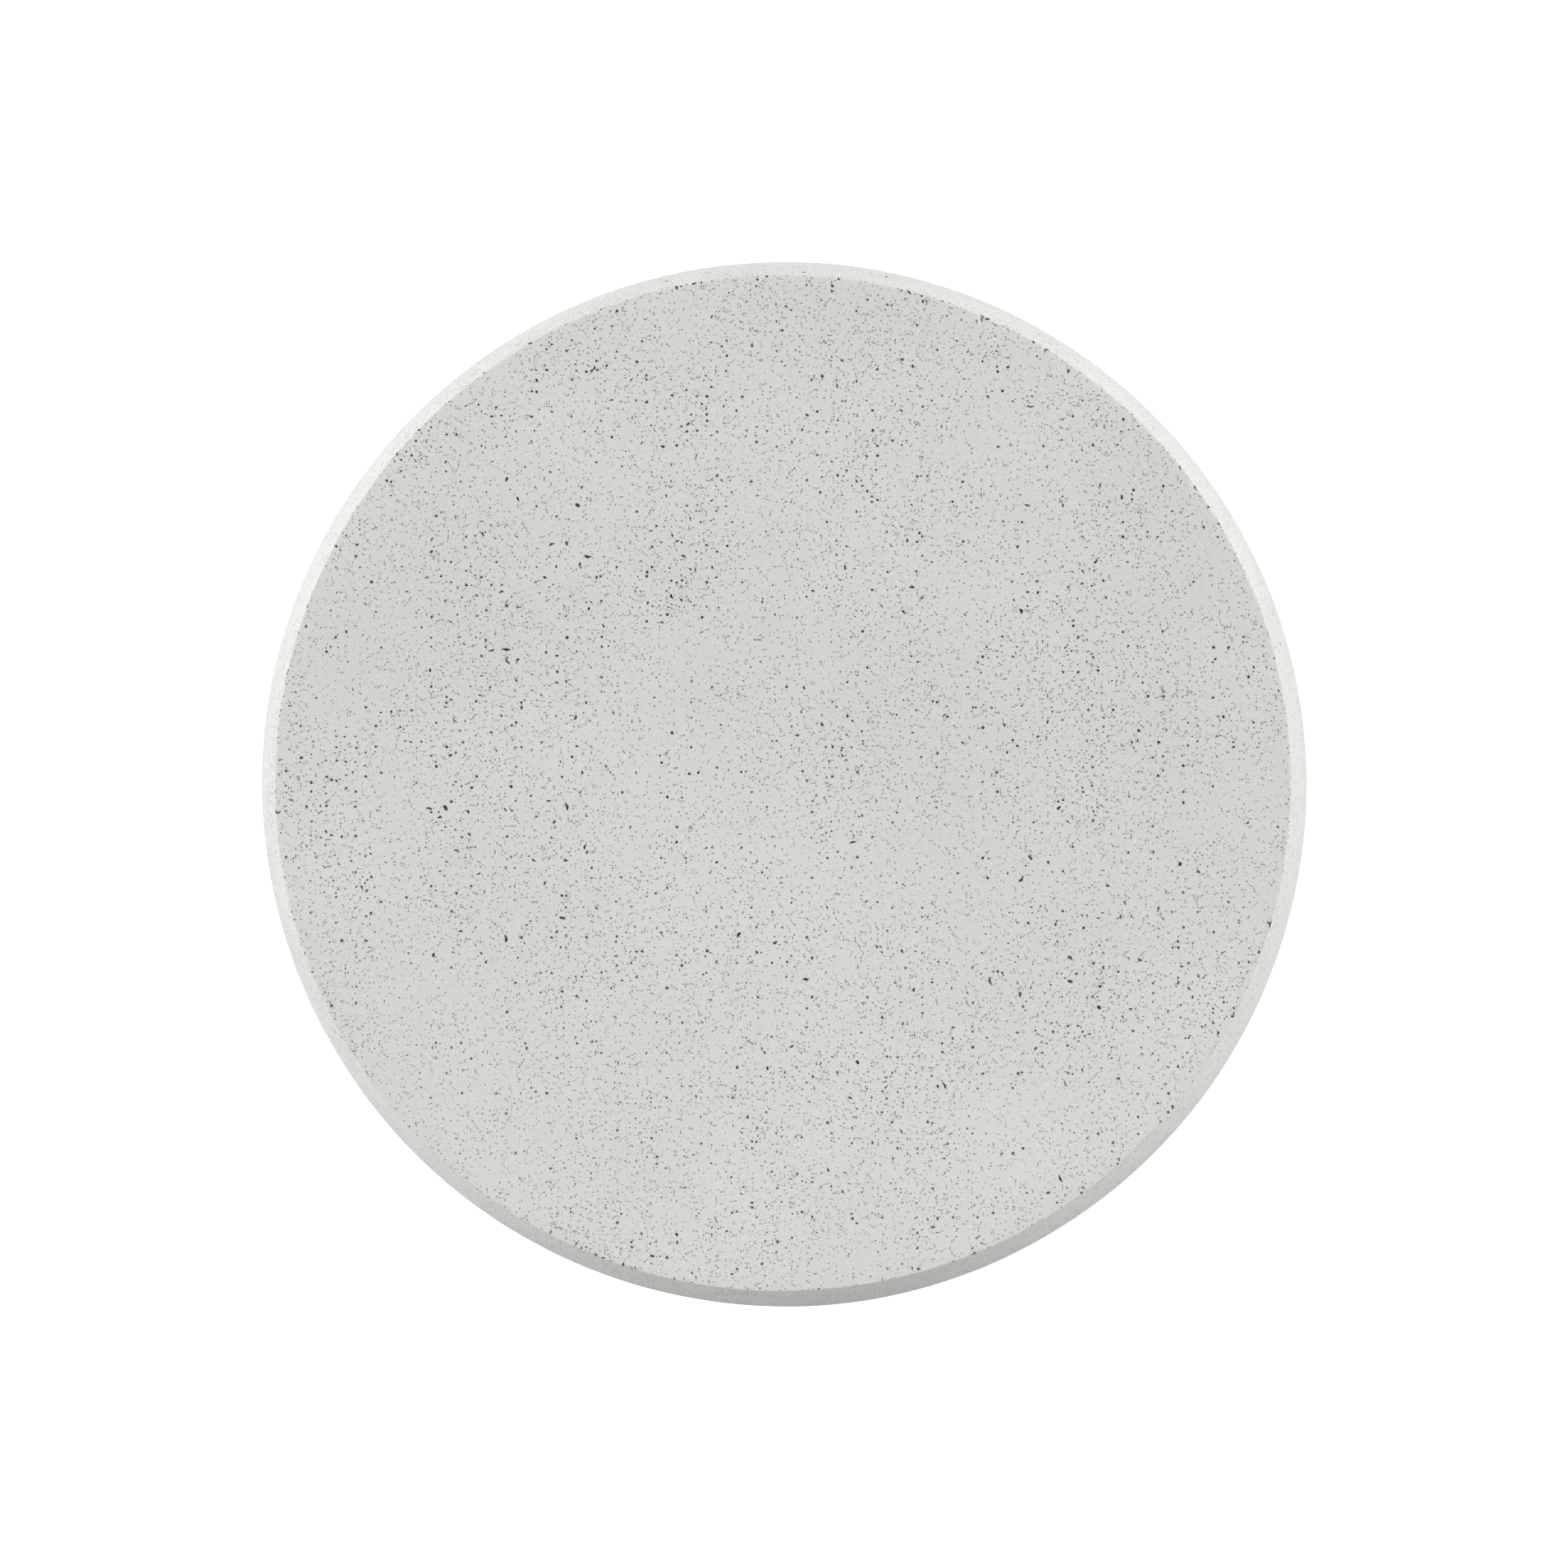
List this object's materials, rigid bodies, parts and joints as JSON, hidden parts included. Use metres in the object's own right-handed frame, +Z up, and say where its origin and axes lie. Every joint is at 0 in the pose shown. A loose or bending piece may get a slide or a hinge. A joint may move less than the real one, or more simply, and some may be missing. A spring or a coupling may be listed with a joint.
{
  "type": "stone lantern",
  "caption": "Flat-topped, barrel-shaped garden lantern of stacked cast stones with open arches, around a glazed candle lamp on a sliding tray.",
  "frame": {"origin": "on the ground, on the lantern's axis", "axes": "+Z up along the lantern's axis; -Y towards the arch that the lamp tray comes out of"},
  "size_m": [0.449, 0.449, 0.42],
  "materials": {
    "cast_stone": "ground smooth, open pinholes",
    "black_rubber": "matte",
    "stainless_steel": "turned",
    "aged_brass": "aged satin",
    "clear_glass": "polished",
    "ivory_wax": "smooth",
    "burnt_wick": "braided cotton, burnt tip"
  },
  "bodies": {
    "base": {"base_stone": "cast_stone", "foot_pads": "black_rubber", "chamber_dowels": "stainless_steel", "chamber_washers": "black_rubber", "drain_sleeve": "stainless_steel", "drain_strainer": "stainless_steel"},
    "chamber": {"chamber_stone": "cast_stone", "cap_dowels": "stainless_steel", "cap_washers": "black_rubber"},
    "cap": {"cap_stone": "cast_stone"},
    "tray": {"tray_pan": "aged_brass", "tray_feet": "aged_brass", "tray_loop": "aged_brass", "loop_rivets": "aged_brass", "glass_gallery": "aged_brass", "gallery_flange": "aged_brass", "gallery_rivets": "aged_brass", "candle_spike": "aged_brass", "spike_nut": "aged_brass"},
    "glass": {"glass_chimney": "clear_glass"},
    "candle": {"candle_wax": "ivory_wax", "candle_wick": "burnt_wick"}
  },
  "joints": [
    {"name": "chamber_lift", "type": "slide", "parent": "base", "child": "chamber", "axis": [0, 0, 1], "range_m": [0, 0.22]},
    {"name": "cap_lift", "type": "slide", "parent": "chamber", "child": "cap", "axis": [0, 0, 1], "range_m": [0, 0.15]},
    {"name": "tray_slide", "type": "slide", "parent": "base", "child": "tray", "axis": [0, -1, 0], "range_m": [0, 0.29]},
    {"name": "glass_lift", "type": "slide", "parent": "tray", "child": "glass", "axis": [0, 0, 1], "range_m": [0, 0.11]},
    {"name": "candle_lift", "type": "slide", "parent": "tray", "child": "candle", "axis": [0, 0, 1], "range_m": [0, 0.04]}
  ]
}
